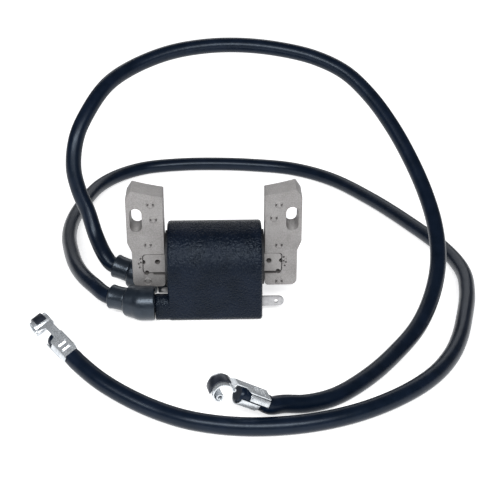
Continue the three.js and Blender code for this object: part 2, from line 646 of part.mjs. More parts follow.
// An elbow: a sleeve over the tower's spigot with a round knee, and a nose that the lead goes into
function makeBoot(bend, direction) {
  const mouth = -TOWER_END - GAP;
  const profile = [[0, bend.x - mouth], [BOOT_RADIUS, bend.x - mouth]];
  const kneeSteps = 7;
  for (let i = 0; i < kneeSteps; i += 1) {
    const angle = Math.PI / 2 * i / kneeSteps;
    profile.push([BOOT_RADIUS * Math.cos(angle), BOOT_RADIUS * Math.sin(angle)]);
  }
  profile.push([0, BOOT_RADIUS]);
  const sleeve = latheAlong(bend, new THREE.Vector3(-1, 0, 0), profile, 24);
  const nose = rodAlong(bend, direction, 0, BOOT_NOSE_END, BOOT_NOSE_RADIUS);
  const socketEnd = -TOWER_END - SPIGOT_LENGTH - GAP;
  const socket = barX(SPIGOT_RADIUS + GAP, socketEnd, mouth + CUT_PAST, bend.y, bend.z);
  const leadBore = rodAlong(bend, direction, 0, BOOT_NOSE_END + CUT_PAST, LEAD_RADIUS + GAP);
  return sleeve.add(nose).subtract(socket).subtract(leadBore);
}

function makeLead(points) {
  const curve = new THREE.CatmullRomCurve3(points, false, 'centripetal');
  const section = new THREE.Shape();
  for (let i = 0; i < LEAD_SIDES; i += 1) {
    const angle = Math.PI * 2 * i / LEAD_SIDES;
    const place = [LEAD_RADIUS * Math.cos(angle), LEAD_RADIUS * Math.sin(angle)];
    if (i === 0) section.moveTo(...place);
    else section.lineTo(...place);
  }
  section.closePath();
  return toSolid(new THREE.ExtrudeGeometry(
    section, { steps: LEAD_STEPS, extrudePath: curve, bevelEnabled: false }));
}

// The terminal in its own frame: X along the lead towards the head, Z out through the strip
function makeTerminal() {
  const seam = 90 + CRIMP_SEAM_ANGLE;
  const crimpShape = new THREE.Shape();
  const seamFrom = radians(seam + CRIMP_SEAM_HALF_WIDTH);
  const seamTo = radians(seam - CRIMP_SEAM_HALF_WIDTH + 360);
  crimpShape.absarc(0, 0, CRIMP_OUTER, seamFrom, seamTo, false);
  crimpShape.absarc(0, 0, CRIMP_INNER, seamTo, seamFrom, true);
  crimpShape.closePath();
  let solid = prism(crimpShape, 'X', 0, CRIMP_LENGTH, 16);
  const strip = new THREE.Shape();
  strip.moveTo(STRIP_FROM, CRIMP_INNER);
  strip.lineTo(STRIP_BEND, CRIMP_INNER);
  strip.lineTo(STRIP_BEND + STRIP_SLOPE_LENGTH, CRIMP_INNER - STRIP_DROP);
  strip.lineTo(STRIP_BEND + STRIP_SLOPE_LENGTH, CRIMP_OUTER - STRIP_DROP);
  strip.lineTo(STRIP_BEND, CRIMP_OUTER);
  strip.lineTo(STRIP_FROM, CRIMP_OUTER);
  const stripHalf = STRIP_WIDTH / 2;
  const neckCut = block(NECK_FROM, NECK_TO, NECK_EDGE, stripHalf + CUT_PAST, 0, CRIMP_OUTER + GAP);
  solid = solid.add(prism(strip, 'Y', -stripHalf, stripHalf).subtract(neckCut));
  const headHalf = HEAD_WIDTH / 2;
  const headMiddle = (HEAD_INNER_RADIUS + HEAD_OUTER_RADIUS) / 2;
  solid = solid.add(arcBand(HEAD_FORWARD, HEAD_RISE, HEAD_INNER_RADIUS, HEAD_OUTER_RADIUS,
    HEAD_FROM, HEAD_TO, -headHalf, headHalf));
  const rolls = [
    { angle: HEAD_FROM, radius: CURL_RADIUS, reach: HEAD_OUTER_RADIUS - CURL_RADIUS },
    { angle: HEAD_TO, radius: LIP_RADIUS, reach: headMiddle },
  ];
  for (const roll of rolls) {
    solid = solid.add(barY(roll.radius, -headHalf, headHalf,
      HEAD_FORWARD + roll.reach * Math.cos(radians(roll.angle)),
      HEAD_RISE + roll.reach * Math.sin(radians(roll.angle)), 12));
  }
  return solid;
}

function makeSnapClip() {
  return arcBand(HEAD_FORWARD, HEAD_RISE, CLIP_INNER_RADIUS, CLIP_INNER_RADIUS + CLIP_THICKNESS,
    CLIP_FROM, CLIP_TO, -CLIP_WIDTH / 2, CLIP_WIDTH / 2, 10);
}

// ---- Assembly ----

const BLACK_PLASTIC = 0x1c2129;
const BLACK_RUBBER = 0x14181f;
const STEEL = 0x9d9c9b;
const COPPER = 0xb06a3a;
const BLACK_EPOXY = 0x18181a;
const TAN = 0xb8946a;
const RESIN_BLACK = 0x101216;
const BOBBIN_BLACK = 0x15171b;
const TRIGGER_COPPER = 0xc27a44;
const KRAFT = 0xcbb98c;
const BOBBIN_WHITE = 0xd8d2c0;
const FINE_COPPER = 0x9c4f26;
const BOARD_GREEN = 0x2f5a3a;
const BRIGHT_STEEL = 0xb9bdbd;
const DULL_STEEL = 0x8d8f8e;
const BRASS = 0xb8934a;
const PLATED_STEEL = 0xc9cccc;
const BLUED_STEEL = 0x14161c;
const LEAD_BLACK = 0x0f1520;

add('coil_case', makeCase(), BLACK_PLASTIC, 0.6, 0);
add('potting_resin', makeResin(), RESIN_BLACK, 0.35, 0);
add('core_bar', makeCoreBar(), STEEL, 0.45, 0.8);
add('left_leg', makeLeg(-1), STEEL, 0.45, 0.8);
add('right_leg', makeLeg(1), STEEL, 0.45, 0.8);

add('primary_bobbin', makePrimaryBobbin(), BOBBIN_BLACK, 0.8, 0);
const triggerFrom = windingHalf - TRIGGER_WIDTH;
add('primary_winding',
  windingTube(primaryInside, primaryOutside, -windingHalf, triggerFrom - GAP), COPPER, 0.4, 0.7);
add('trigger_winding',
  windingTube(primaryInside, primaryOutside, triggerFrom, windingHalf), TRIGGER_COPPER, 0.4, 0.7);
add('insulation_sleeve',
  windingTube(sleeveInside, sleeveOutside, -SECONDARY_HALF, SECONDARY_HALF), KRAFT, 0.7, 0);
add('secondary_bobbin', makeSecondaryBobbin(), BOBBIN_WHITE, 0.6, 0);
for (let i = 0; i < SECONDARY_SECTIONS; i += 1) {
  add(`secondary_winding_${i + 1}`, makeSecondarySection(i), FINE_COPPER, 0.4, 0.6);
}

const board = block(-BOARD_LENGTH / 2, BOARD_LENGTH / 2, -BOARD_DEPTH / 2, BOARD_DEPTH / 2,
  BOARD_HEIGHT, boardTop);
add('circuit_board', board, BOARD_GREEN, 0.6, 0);
add('switching_transistor', onBoard(TRANSISTOR_SIZE, ...TRANSISTOR_PLACE), BLACK_EPOXY, 0.5, 0);
add('trigger_transistor', onBoard(DRIVER_SIZE, ...DRIVER_PLACE), BLACK_EPOXY, 0.5, 0);
RESISTOR_PLACES.forEach((place, i) => {
  add(`bias_resistor_${i + 1}`, makeResistor(...place), TAN, 0.5, 0);
});

add('kill_tab', makeKillTab(), BRIGHT_STEEL, 0.35, 0.9);
add('ground_tab', makeGroundTab(), DULL_STEEL, 0.4, 0.9);

for (const lead of LEADS) {
  const bend = new THREE.Vector3(BOOT_BEND_X, lead.side * TOWER_Y, TOWER_HEIGHT);
  const direction = new THREE.Vector3(...lead.direction).normalize();
  const contact = barX(CONTACT_RADIUS, -TOWER_END - SPIGOT_LENGTH + GAP,
    -CAVITY_HALF + CONTACT_TAIL, bend.y, bend.z, 12);
  add(`${lead.name}_tower_contact`, contact, BRASS, 0.35, 0.9);
  add(`${lead.name}_lead_boot`, makeBoot(bend, direction), BLACK_RUBBER, 0.5, 0);
  const collarStart = BOOT_NOSE_END + GAP;
  const collarEnd = collarStart + COLLAR_LENGTH;
  add(`${lead.name}_lead_collar`, tubeAlong(bend, direction, collarStart, collarEnd,
    LEAD_RADIUS + GAP, COLLAR_RADIUS), BLACK_RUBBER, 0.45, 0);

  const moved = new THREE.Vector3(bend.x - LAID_BEND.x, bend.y - lead.side * LAID_BEND.y, 0);
  const laid = (place, i) => new THREE.Vector3(...place)
    .addScaledVector(moved, Math.max(0, 1 - i / FREE_AFTER));
  const terminal = lead.terminal;
  const crimpStart = new THREE.Vector3(...terminal.start);
  const frame = new THREE.Group();
  frame.position.copy(crimpStart);
  frame.rotation.set(
    radians(terminal.roll), -radians(terminal.pitch), radians(terminal.heading), 'ZYX');
  model.add(frame);
  add(`${lead.name}_plug_terminal`, makeTerminal(), PLATED_STEEL, 0.25, 1, frame);
  add(`${lead.name}_snap_clip`, makeSnapClip(), BLUED_STEEL, 0.35, 0.6, frame);

  const forward = new THREE.Vector3(1, 0, 0).applyEuler(frame.rotation);
  const straight = [-CRIMP_LENGTH / 3, 0, LEAD_TIP / 2, LEAD_TIP];
  const points = [
    bend.clone().addScaledVector(direction, LEAD_SEAT),
    bend.clone().addScaledVector(direction, (LEAD_SEAT + collarEnd) / 2),
    bend.clone().addScaledVector(direction, collarEnd + COLLAR_STRAIGHT),
    ...lead.route.map(laid),
    ...straight.map((along) => crimpStart.clone().addScaledVector(forward, along)),
  ];
  add(`${lead.name}_lead`, makeLead(points), LEAD_BLACK, 0.35, 0);
}

export default model;
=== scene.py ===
import json
import math
import random

import bpy
import bmesh
from mathutils import Matrix, Vector
from mathutils.geometry import delaunay_2d_cdt


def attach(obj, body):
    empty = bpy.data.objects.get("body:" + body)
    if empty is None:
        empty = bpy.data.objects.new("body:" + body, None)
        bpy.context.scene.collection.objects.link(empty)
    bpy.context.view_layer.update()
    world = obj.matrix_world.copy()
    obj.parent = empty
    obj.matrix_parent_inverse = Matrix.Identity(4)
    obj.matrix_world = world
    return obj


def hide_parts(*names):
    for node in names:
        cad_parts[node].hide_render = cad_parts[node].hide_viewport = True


# Lengths are in millimetres, as on a drawing, and become metres when a mesh is made.
MM = 0.001

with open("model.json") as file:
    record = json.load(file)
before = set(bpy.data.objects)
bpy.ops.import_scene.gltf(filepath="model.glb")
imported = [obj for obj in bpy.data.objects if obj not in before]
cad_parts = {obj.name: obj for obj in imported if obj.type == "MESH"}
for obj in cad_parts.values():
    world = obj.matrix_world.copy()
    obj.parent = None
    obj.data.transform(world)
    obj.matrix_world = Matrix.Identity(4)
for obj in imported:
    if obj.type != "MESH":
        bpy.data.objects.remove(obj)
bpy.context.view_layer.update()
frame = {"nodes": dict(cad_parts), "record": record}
scene = bpy.context.scene
nodes = frame["nodes"]
rng = random.Random(7)

# ---------------------------------------------------------------- camera

camera_data = bpy.data.cameras.new("camera")
camera_data.lens = 83.0
camera_data.sensor_width = 36.0
camera_data.sensor_fit = "HORIZONTAL"
camera = bpy.data.objects.new("camera", camera_data)
camera.location = (0.00255, -0.4397, 0.2515)
camera.rotation_euler = (math.radians(63.3), 0, math.radians(-1.64))
scene.collection.objects.link(camera)
scene.camera = camera
scene.view_settings.view_transform = "Standard"

# ---------------------------------------------------------------- materials


def new_material(name):
    mat = bpy.data.materials.new(name)
    mat.use_nodes = True
    tree = mat.node_tree
    shader = tree.nodes["Principled BSDF"]
    coords = tree.nodes.new("ShaderNodeTexCoord")
    return mat, tree, shader, coords.outputs["Object"]


def noise(tree, coords, size_mm, detail=3.0, stretch=None):
    """Noise whose features are about size_mm across."""
    node = tree.nodes.new("ShaderNodeTexNoise")
    node.inputs["Scale"].default_value = 1000.0 / size_mm
    node.inputs["Detail"].default_value = detail
    if stretch:
        mapping = tree.nodes.new("ShaderNodeMapping")
        mapping.inputs["Scale"].default_value = stretch
        tree.links.new(coords, mapping.inputs["Vector"])
        coords = mapping.outputs["Vector"]
    tree.links.new(coords, node.inputs["Vector"])
    return node.outputs["Fac"]


def ramp(tree, value, low, high, from_low=0.35, from_high=0.65):
    node = tree.nodes.new("ShaderNodeValToRGB")
    node.color_ramp.elements[0].position = from_low
    node.color_ramp.elements[0].color = (*low, 1)
    node.color_ramp.elements[1].position = from_high
    node.color_ramp.elements[1].color = (*high, 1)
    tree.links.new(value, node.inputs["Fac"])
    return node.outputs["Color"]


def bump(tree, shader, heights):
    """Chains bumps: each is (height output, depth in mm)."""
    normal = None
    for height, depth in heights:
        node = tree.nodes.new("ShaderNodeBump")
        node.inputs["Strength"].default_value = 1.0
        node.inputs["Distance"].default_value = depth * MM
        tree.links.new(height, node.inputs["Height"])
        if normal:
            tree.links.new(normal, node.inputs["Normal"])
        normal = node.outputs["Normal"]
    tree.links.new(normal, shader.inputs["Normal"])


def finish_of(name, low, high, rough, metallic=0.0, patch_mm=4.0, grain_mm=0.5, grain_depth=0.02,
              stretch=None, specular=0.5, tint=(1, 1, 1), coat=0.0, rough_spread=0.08):
    """A surface with colour patches, uneven roughness and a fine grain."""
    mat, tree, shader, coords = new_material(name)
    patches = noise(tree, coords, patch_mm, 4.0, stretch)
    grain = noise(tree, coords, grain_mm, 2.0, stretch)
    tree.links.new(ramp(tree, patches, low, high), shader.inputs["Base Color"])
    spread = tree.nodes.new("ShaderNodeMapRange")
    spread.inputs["To Min"].default_value = max(rough - rough_spread, 0.02)
    spread.inputs["To Max"].default_value = min(rough + rough_spread, 1.0)
    tree.links.new(grain, spread.inputs["Value"])
    tree.links.new(spread.outputs["Result"], shader.inputs["Roughness"])
    bump(tree, shader, [(patches, grain_depth * 0.6), (grain, grain_depth)])
    shader.inputs["Metallic"].default_value = metallic
    shader.inputs["Specular IOR Level"].default_value = specular
    shader.inputs["Specular Tint"].default_value = (*tint, 1)
    shader.inputs["Coat Weight"].default_value = coat
    return mat


def wound_wire(name, low, high, pitch_mm):
    """Turns of enamelled wire round the core, side by side along X; the colour is darker in the grooves
    between turns, which is painted shade.
    """
    mat, tree, shader, coords = new_material(name)
    wave = tree.nodes.new("ShaderNodeTexWave")
    wave.bands_direction = "X"
    wave.wave_profile = "SIN"
    wave.inputs["Scale"].default_value = 1000.0 / pitch_mm / 20.0
    wave.inputs["Distortion"].default_value = 0.15
    tree.links.new(coords, wave.inputs["Vector"])
    # painted shade: the wave darkens the base colour in the grooves between the turns
    tree.links.new(ramp(tree, wave.outputs["Fac"], low, high, 0.1, 0.7), shader.inputs["Base Color"])
    bump(tree, shader, [(wave.outputs["Fac"], 0.05), (noise(tree, coords, 1.5), 0.02)])
    shader.inputs["Metallic"].default_value = 0.8
    shader.inputs["Roughness"].default_value = 0.3
    shader.inputs["Coat Weight"].default_value = 0.5
    return mat


def laminated(name):
    """Stamped and tumbled steel: pale grey, dull, with fine pits and soft darker patches."""
    mat, tree, shader, coords = new_material(name)
    patches = noise(tree, coords, 7.0, 5.0)
    speck = noise(tree, coords, 0.45, 3.0)
    sheets = noise(tree, coords, 0.5, 1.0, (0.05, 1.0, 0.05))
    mix = tree.nodes.new("ShaderNodeMix")
    mix.data_type = "RGBA"
    mix.inputs["Factor"].default_value = 0.4
    tree.links.new(ramp(tree, patches, (0.24, 0.23, 0.228), (0.31, 0.3, 0.298)), mix.inputs[6])
    tree.links.new(ramp(tree, speck, (0.17, 0.165, 0.16), (0.37, 0.36, 0.355)), mix.inputs[7])
    tree.links.new(mix.outputs[2], shader.inputs["Base Color"])
    spread = tree.nodes.new("ShaderNodeMapRange")
    spread.inputs["To Min"].default_value = 0.42
    spread.inputs["To Max"].default_value = 0.62
    tree.links.new(speck, spread.inputs["Value"])
    tree.links.new(spread.outputs["Result"], shader.inputs["Roughness"])
    bump(tree, shader, [(sheets, 0.03), (speck, 0.03)])
    shader.inputs["Metallic"].default_value = 0.55
    return mat


NIGHT = (0.74, 0.86, 1.0)  # black mouldings and jackets that reflect a little blue

MATERIALS = {
    "case_plastic": finish_of("case_plastic", (0.001, 0.003, 0.008), (0.003, 0.006, 0.014), 0.27,
                              patch_mm=9, grain_mm=0.75, grain_depth=0.45, specular=0.2, tint=NIGHT),
    "potting_resin": finish_of("potting_resin", (0.012, 0.013, 0.016), (0.02, 0.021, 0.024), 0.18,
                               patch_mm=12, grain_mm=3, grain_depth=0.12),
    "lamination_steel": laminated("lamination_steel"),
    "bobbin_plastic": finish_of("bobbin_plastic", (0.006, 0.007, 0.009), (0.02, 0.022, 0.026), 0.62,
                                patch_mm=1.6, grain_mm=0.6, grain_depth=0.2),
    "magnet_wire": wound_wire("magnet_wire", (0.18, 0.05, 0.015), (0.72, 0.28, 0.1), 0.35),
    "insulation_film": finish_of("insulation_film", (0.55, 0.45, 0.22), (0.68, 0.58, 0.34), 0.3,
                                 patch_mm=5, grain_mm=1, grain_depth=0.04),
    "secondary_bobbin_plastic": finish_of("secondary_bobbin_plastic", (0.62, 0.57, 0.46),
                                          (0.7, 0.66, 0.56), 0.5, patch_mm=4),
    "board": finish_of("board", (0.03, 0.13, 0.05), (0.06, 0.2, 0.09), 0.4, patch_mm=1.5,
                       grain_mm=0.4, stretch=(1, 0.3, 1)),
    "component_epoxy": finish_of("component_epoxy", (0.015, 0.015, 0.017), (0.03, 0.03, 0.032), 0.55),
    "resistor_body": finish_of("resistor_body", (0.5, 0.34, 0.18), (0.6, 0.45, 0.27), 0.3, coat=0.5),
    "tab_steel": finish_of("tab_steel", (0.34, 0.34, 0.35), (0.46, 0.46, 0.47), 0.38, 0.7,
                           patch_mm=2, grain_mm=0.3, grain_depth=0.015),
    "contact_brass": finish_of("contact_brass", (0.5, 0.35, 0.13), (0.62, 0.46, 0.2), 0.3, 1.0),
    "boot_rubber": finish_of("boot_rubber", (0.004, 0.007, 0.012), (0.009, 0.013, 0.02), 0.32,
                             patch_mm=3, grain_mm=0.5, grain_depth=0.06, specular=0.6, tint=NIGHT),
    "lead_jacket": finish_of("lead_jacket", (0.001, 0.004, 0.011), (0.003, 0.007, 0.017), 0.32,
                             patch_mm=6, grain_mm=0.8, grain_depth=0.03, specular=0.27, tint=NIGHT),
    "terminal_plate": finish_of("terminal_plate", (0.5, 0.53, 0.56), (0.66, 0.69, 0.72), 0.28, 0.7,
                                patch_mm=2, grain_mm=0.35, grain_depth=0.015),
    "clip_steel": finish_of("clip_steel", (0.012, 0.016, 0.026), (0.028, 0.034, 0.048), 0.3, 0.4,
                            patch_mm=2.5, grain_mm=0.4, grain_depth=0.015),
}

for part in frame["record"]["subparts"]:
    obj = nodes[part["node"]]
    obj.data.materials.clear()
    obj.data.materials.append(MATERIALS[part["material_slot"]])

# ---------------------------------------------------------------- mesh helpers


def make_piece(name, verts, faces, slot, sharp=35, place=None):
    """A mesh object from points in millimetres."""
    place = place or Matrix.Identity(4)
    mesh = bpy.data.meshes.new(name)
    mesh.from_pydata([(place @ Vector(v)) * MM for v in verts], [], faces)
    bm = bmesh.new()
    bm.from_mesh(mesh)
    bmesh.ops.remove_doubles(bm, verts=bm.verts, dist=1e-6)
    bmesh.ops.recalc_face_normals(bm, faces=bm.faces)
    bm.to_mesh(mesh)
    bm.free()
    obj = bpy.data.objects.new(name, mesh)
    scene.collection.objects.link(obj)
    if slot:
        mesh.materials.append(MATERIALS[slot])
    shade(obj, sharp)
    return obj


def shade(obj, sharp):
    for face in obj.data.polygons:
        face.use_smooth = True
    obj.data.set_sharp_from_angle(angle=math.radians(sharp))


def bake(obj):
    """Turns an object's modifiers into its mesh."""
    graph = bpy.context.evaluated_depsgraph_get()
    mesh = bpy.data.meshes.new_from_object(obj.evaluated_get(graph))
    obj.modifiers.clear()
    obj.data = mesh


def combine(obj, tool, operation="DIFFERENCE"):
    mod = obj.modifiers.new("combine", "BOOLEAN")
    mod.operation = operation
    mod.object = tool
    mod.solver = "EXACT"
    bake(obj)
    bpy.data.objects.remove(tool)


def round_edges(obj, width, segments=2, angle=40):
    mod = obj.modifiers.new("edges", "BEVEL")
    mod.width = width * MM
    mod.segments = segments
    mod.limit_method = "ANGLE"
    mod.angle_limit = math.radians(angle)
    mod.harden_normals = False
    bake(obj)


def install(obj, *replaced):
    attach(obj, "root")
    if replaced:
        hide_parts(*replaced)
    return obj


def join(objects):
    """Joins objects into the first one."""
    bm = bmesh.new()
    for obj in objects:
        bm.from_mesh(obj.data)
    bm.to_mesh(objects[0].data)
    bm.free()
    for obj in objects[1:]:
        bpy.data.objects.remove(obj)
    return objects[0]


def arc(x, z, radius, start, end, steps):
    return [(x + radius * math.cos(math.radians(start + (end - start) * i / steps)),
             z + radius * math.sin(math.radians(start + (end - start) * i / steps)))
            for i in range(steps + 1)]


def circle(x, z, radius, steps):
    return arc(x, z, radius, 0, 360, steps)[:-1]


def box_outline(x0, x1, z0, z1, radius=0.0, steps=6):
    if not radius:
        return [(x0, z0), (x1, z0), (x1, z1), (x0, z1)]
    return (arc(x1 - radius, z0 + radius, radius, -90, 0, steps)
            + arc(x1 - radius, z1 - radius, radius, 0, 90, steps)
            + arc(x0 + radius, z1 - radius, radius, 90, 180, steps)
            + arc(x0 + radius, z0 + radius, radius, 180, 270, steps))


def area_of(loop):
    return sum(a[0] * b[1] - b[0] * a[1] for a, b in zip(loop, loop[1:] + loop[:1])) / 2


def shrink(loop, inset):
    """Moves each side of a loop inwards by inset. Negative inset grows it."""
    sign = 1 if area_of(loop) > 0 else -1
    out = []
    for i, point in enumerate(loop):
        before, after = loop[i - 1], loop[(i + 1) % len(loop)]
        d0 = Vector((point[0] - before[0], point[1] - before[1])).normalized()
        d1 = Vector((after[0] - point[0], after[1] - point[1])).normalized()
        n0, n1 = Vector((-d0.y, d0.x)) * sign, Vector((-d1.y, d1.x)) * sign
        mean = (n0 + n1).normalized()
        reach = inset / max(mean.dot(n0), 0.4)
        out.append((point[0] + mean.x * reach, point[1] + mean.y * reach))
    return out


def inside(x, z, loop):
    hit = False
    for (x0, z0), (x1, z1) in zip(loop, loop[1:] + loop[:1]):
        if (z0 > z) != (z1 > z) and x < (x1 - x0) * (z - z0) / (z1 - z0) + x0:
            hit = not hit
    return hit


def cap(outline, holes, y, rings=(), into=1):
    """A flat face at y with holes. rings are (loop, depth): marks pressed into the face."""
    points, edges, depth = [], [], []
    for loop, deep in [(outline, 0.0)] + [(h, 0.0) for h in holes] + list(rings):
        start = len(points)
        points += [Vector(p) for p in loop]
        depth += [deep] * len(loop)
        edges += [(start + i, start + (i + 1) % len(loop)) for i in range(len(loop))]
    verts, _, faces, origin, _, _ = delaunay_2d_cdt(points, edges, [], 0, 1e-5)
    level = [max([depth[k] for k in ids], key=abs, default=0.0) for ids in origin]
    kept = []
    for face in faces:
        x = sum(verts[i].x for i in face) / len(face)
        z = sum(verts[i].y for i in face) / len(face)
        if inside(x, z, outline) and not any(inside(x, z, hole) for hole in holes):
            kept.append(tuple(face))
    return [(v.x, y + into * level[i], v.y) for i, v in enumerate(verts)], kept


def plate(name, outline, holes, levels, slot, front_rings=(), back_rings=(), place=None, sharp=35,
          swap=None):
    """A stack along Y. levels are (y, inset): the outline's inset at each height of the stack."""
    verts, faces = [], []
    for loop, grow in [(outline, 1)] + [(hole, -1) for hole in holes]:
        previous = None
        for y, inset in levels:
            start = len(verts)
            verts += [(x, y, z) for x, z in shrink(loop, inset * grow)]
            if previous is not None:
                count = len(loop)
                faces += [(previous + i, previous + (i + 1) % count, start + (i + 1) % count,
                           start + i) for i in range(count)]
            previous = start
    for (y, inset), rings, into in ((levels[0], front_rings, 1), (levels[-1], back_rings, -1)):
        more, sides = cap(shrink(outline, inset), [shrink(h, -inset) for h in holes], y, rings, into)
        start = len(verts)
        verts += more
        faces += [tuple(start + i for i in side) for side in sides]
    if swap:
        verts = [swap(v) for v in verts]
    return make_piece(name, verts, faces, slot, sharp, place)


def rounded_levels(y0, y1, radius, steps=3):
    out = []
    for i in range(steps + 1):
        angle = math.pi / 2 * i / steps
        out.append((y0 + radius * (1 - math.cos(angle)), radius * (1 - math.sin(angle))))
    return out + [(y0 + y1 - y, inset) for y, inset in reversed(out)]


def turned(name, profile, origin, direction, slot, steps=64, sharp=35):
    """A closed profile of (radius, distance along) turned round an axis."""
    turn = Vector(direction).to_track_quat("Z", "Y").to_matrix().to_4x4()
    place = Matrix.Translation(Vector(origin)) @ turn
    verts, faces, count = [], [], len(profile)
    for i in range(steps):
        angle = 2 * math.pi * i / steps
        verts += [(r * math.cos(angle), r * math.sin(angle), along) for r, along in profile]
    for i in range(steps):
        a, b = i * count, (i + 1) % steps * count
        faces += [(a + k, a + (k + 1) % count, b + (k + 1) % count, b + k) for k in range(count)]
    return make_piece(name, verts, faces, slot, sharp, place)


def rod(radius, origin, direction, start, end, rounding=0.01, steps=64):
    """A solid round bar with rounded ends, used for cutting and joining."""
    profile = [(0.0, start)] + [
        (radius - rounding + r, start + rounding + z)
        for r, z in arc(0, 0, rounding, -90, 0, 4)]
    profile += [(radius - rounding + r, end - rounding + z) for r, z in arc(0, 0, rounding, 0, 90, 4)]
    profile += [(0.0, end)]
    return turned("tool", profile, origin, direction, None, steps)


def along_x(v):
    """Swaps a plate's (across, along, up) so that it is stacked along X with its shape in Y and Z."""
    return (v[1], v[0], v[2])


# ---------------------------------------------------------------- sizes taken from the CAD frame

CASE_HALF = 20.0
CASE_FACE = 16.0
CASE_WALL = 1.4
CASE_FOOT = 3.0  # corner radius at the foot
CASE_EDGE = 1.3  # rounding of the edges between the arch and the sides
GAP = 0.3  # between pieces that fit into each other
PAST = 1.0  # how far a cutting tool runs past a face
FLANGE_WINDOW = 12.2  # radius of the openings for the bobbin's flanges

CORE_AXIS = 23.0
STACK_HALF = 5.55
BAR_HALF = 4.2
BAR_CORNER = 1.3
TONGUE_LEFT = 9.2
TONGUE_RIGHT = 7.2
# X, Z and radius of the holes and notches through the bar's tongues
BAR_HOLES = ((-30.4, 23.9, 1.05), (-24.3, 23.9, 1.15), (23.0, 23.9, 1.15), (28.4, 23.9, 1.05),
             (-28.9, 18.9, 0.95), (26.9, 18.9, 0.95))
LEG_INNER = 21.2
LEG_OUTER = 36.8
LEG_FOOT_OUTER = 35.0
LEG_BOTTOM = 12.0
LEG_FOOT_OUTER_RADIUS = 2.8
LEG_FOOT_INNER_RADIUS = 1.6
LEG_STEP = [(36.8, 33.2), (36.5, 32.2), (35.2, 29.1), (35.0, 28.2)]
POLE_RADIUS = 127.0
POLE_HEIGHT = 54.0  # at the leg's inner edge
POLE_CHAMFER = 2.4
SLOT_FROM_EDGE = 4.1
SLOT_HEIGHT = 43.4
SLOT_HALF_WIDTH = 2.5
SLOT_HALF_LENGTH = 5.3
RELIEF_LENGTH = 5.0
RELIEF_LOW = 17.7
RELIEF_HIGH = 20.0
LOCK_RADIUS = 1.15
ACROSS_STACK = (-7.0, 7.0)  # how far the tools that cut right through a stack reach along Y
SHEETS = 20
SHEET_PITCH = 2 * STACK_HALF / SHEETS
SHEET_UNEVEN = 0.045  # the most that one sheet's edge lies behind another's
GROOVE_HALF = 0.07
GROOVE_FLOOR_HALF = 0.012
GROOVE_DEPTH = 0.1
STACK_EDGE = 0.14  # chamfer of the two outer sheets
# Pressed interlocks: radius and depth of each step of the dimple, and the marks beside it
DIMPLE_STEPS = ((1.75, 0.0), (1.58, 0.2), (1.3, 0.06))
MARK_ASIDE = 1.05
MARK_STEPS = ((0.34, -0.62, 0.5, 0.06), (0.26, -0.5, 0.4, 0.8))  # half width, low, high, depth
# Torn metal past a tongue's end: X from it, Z, radius and depth, negative where it is raised
BURR_FROM_TONGUE = 1.15
BURR_FLOOR = 0.72  # share of the radius
BURRS = ((-0.2, 25.5, 0.5, 0.9), (0.6, 24.6, 0.45, -0.25), (-0.3, 23.7, 0.5, 0.9),
         (0.7, 23.1, 0.48, 0.9), (-0.2, 22.3, 0.42, -0.25), (0.3, 21.4, 0.48, 0.9))
# X and Z of each leg's pressed interlocks
LEFT_DOTS = [(-26.4, 50.6), (-25.4, 43.7), (-28.0, 32.0), (-28.7, 14.8)]
RIGHT_DOTS = [(27.0, 49.9), (25.0, 43.9), (27.2, 31.2), (27.4, 13.9)]

TOWER_Y = 11.8
TOWER_Z = 7.5
TOWER_RADIUS = 4.0
TOWER_FOOT = 3.0
TOWER_START = 18.9
TOWER_END = 25.4
SPIGOT_LENGTH = 6.0
SPIGOT_RADIUS = 3.7
CONTACT_BORE = 1.1

KILL_START = 14.1
KILL_END = 29.5
KILL_HALF = 2.375
KILL_Z = 5.7
KILL_Y = (-8.4, -7.6)
KILL_HOLE = (26.1, 0.8)  # X and radius
KILL_SPACE = ((14.0, 22.0), (-8.7, -7.3), (3.0, 8.4))  # X, Y and Z of its slot in the case
LUG_START = -17.3
LUG_END = -21.1  # middle of its round end
LUG_HALF = 1.9
LUG_Y = -7.3
LUG_Z = (10.8, 11.6)
LUG_SPACE = ((-22.0, -15.9), (-9.5, -5.1), (10.5, 11.9))

BEND_X = -31.0
BOOT_RADIUS = 7.4
BOOT_EDGE = 0.6
BOOT_VOXEL = 0.3
NOSE_END = 6.8
COLLAR_END = 14.7
COLLAR_STRAIGHT = 2.0  # of the lead, past the collar
LEAD_RADIUS = 3.5
LEAD_SEAT = 2.6
LEAD_TIP = 12.4
LEAD_CRIMPED = 0.955  # of its radius, inside the crimp

CRIMP_LENGTH = 8.8
SHEET = 0.5
WRAP_RADIUS = 3.78  # of the wings' sheet, at its middle
STRIP_HEIGHT = 3.45  # above the lead's axis
STRIP_HALF = 2.95
STRIP_LENGTH = 17.9
STRIP_START = 0.3
NECK_EDGE = 0.55
SHOULDER = 0.7  # how much wider the strip is at the head, each side
STRIP_DROP = 0.75
RIBS = (3.36, 5.86)
RIB_HALF = 1.75
HEAD_X = 19.8
HEAD_Z = -0.42
HEAD_RADIUS = 3.6
HEAD_HALF = 3.69
HEAD_START = -80  # degrees, from straight ahead
HEAD_END = 138
ROLL_INNER = 0.62
ROLL_GROWTH = 0.98
ROLL_STEPS = 33
ROLL_STEP = 13  # degrees
LIP_RADIUS = 0.5
CLIP_RADIUS = 4.42
CLIP_SHEET = 0.55
CLIP_HALF = 2.2

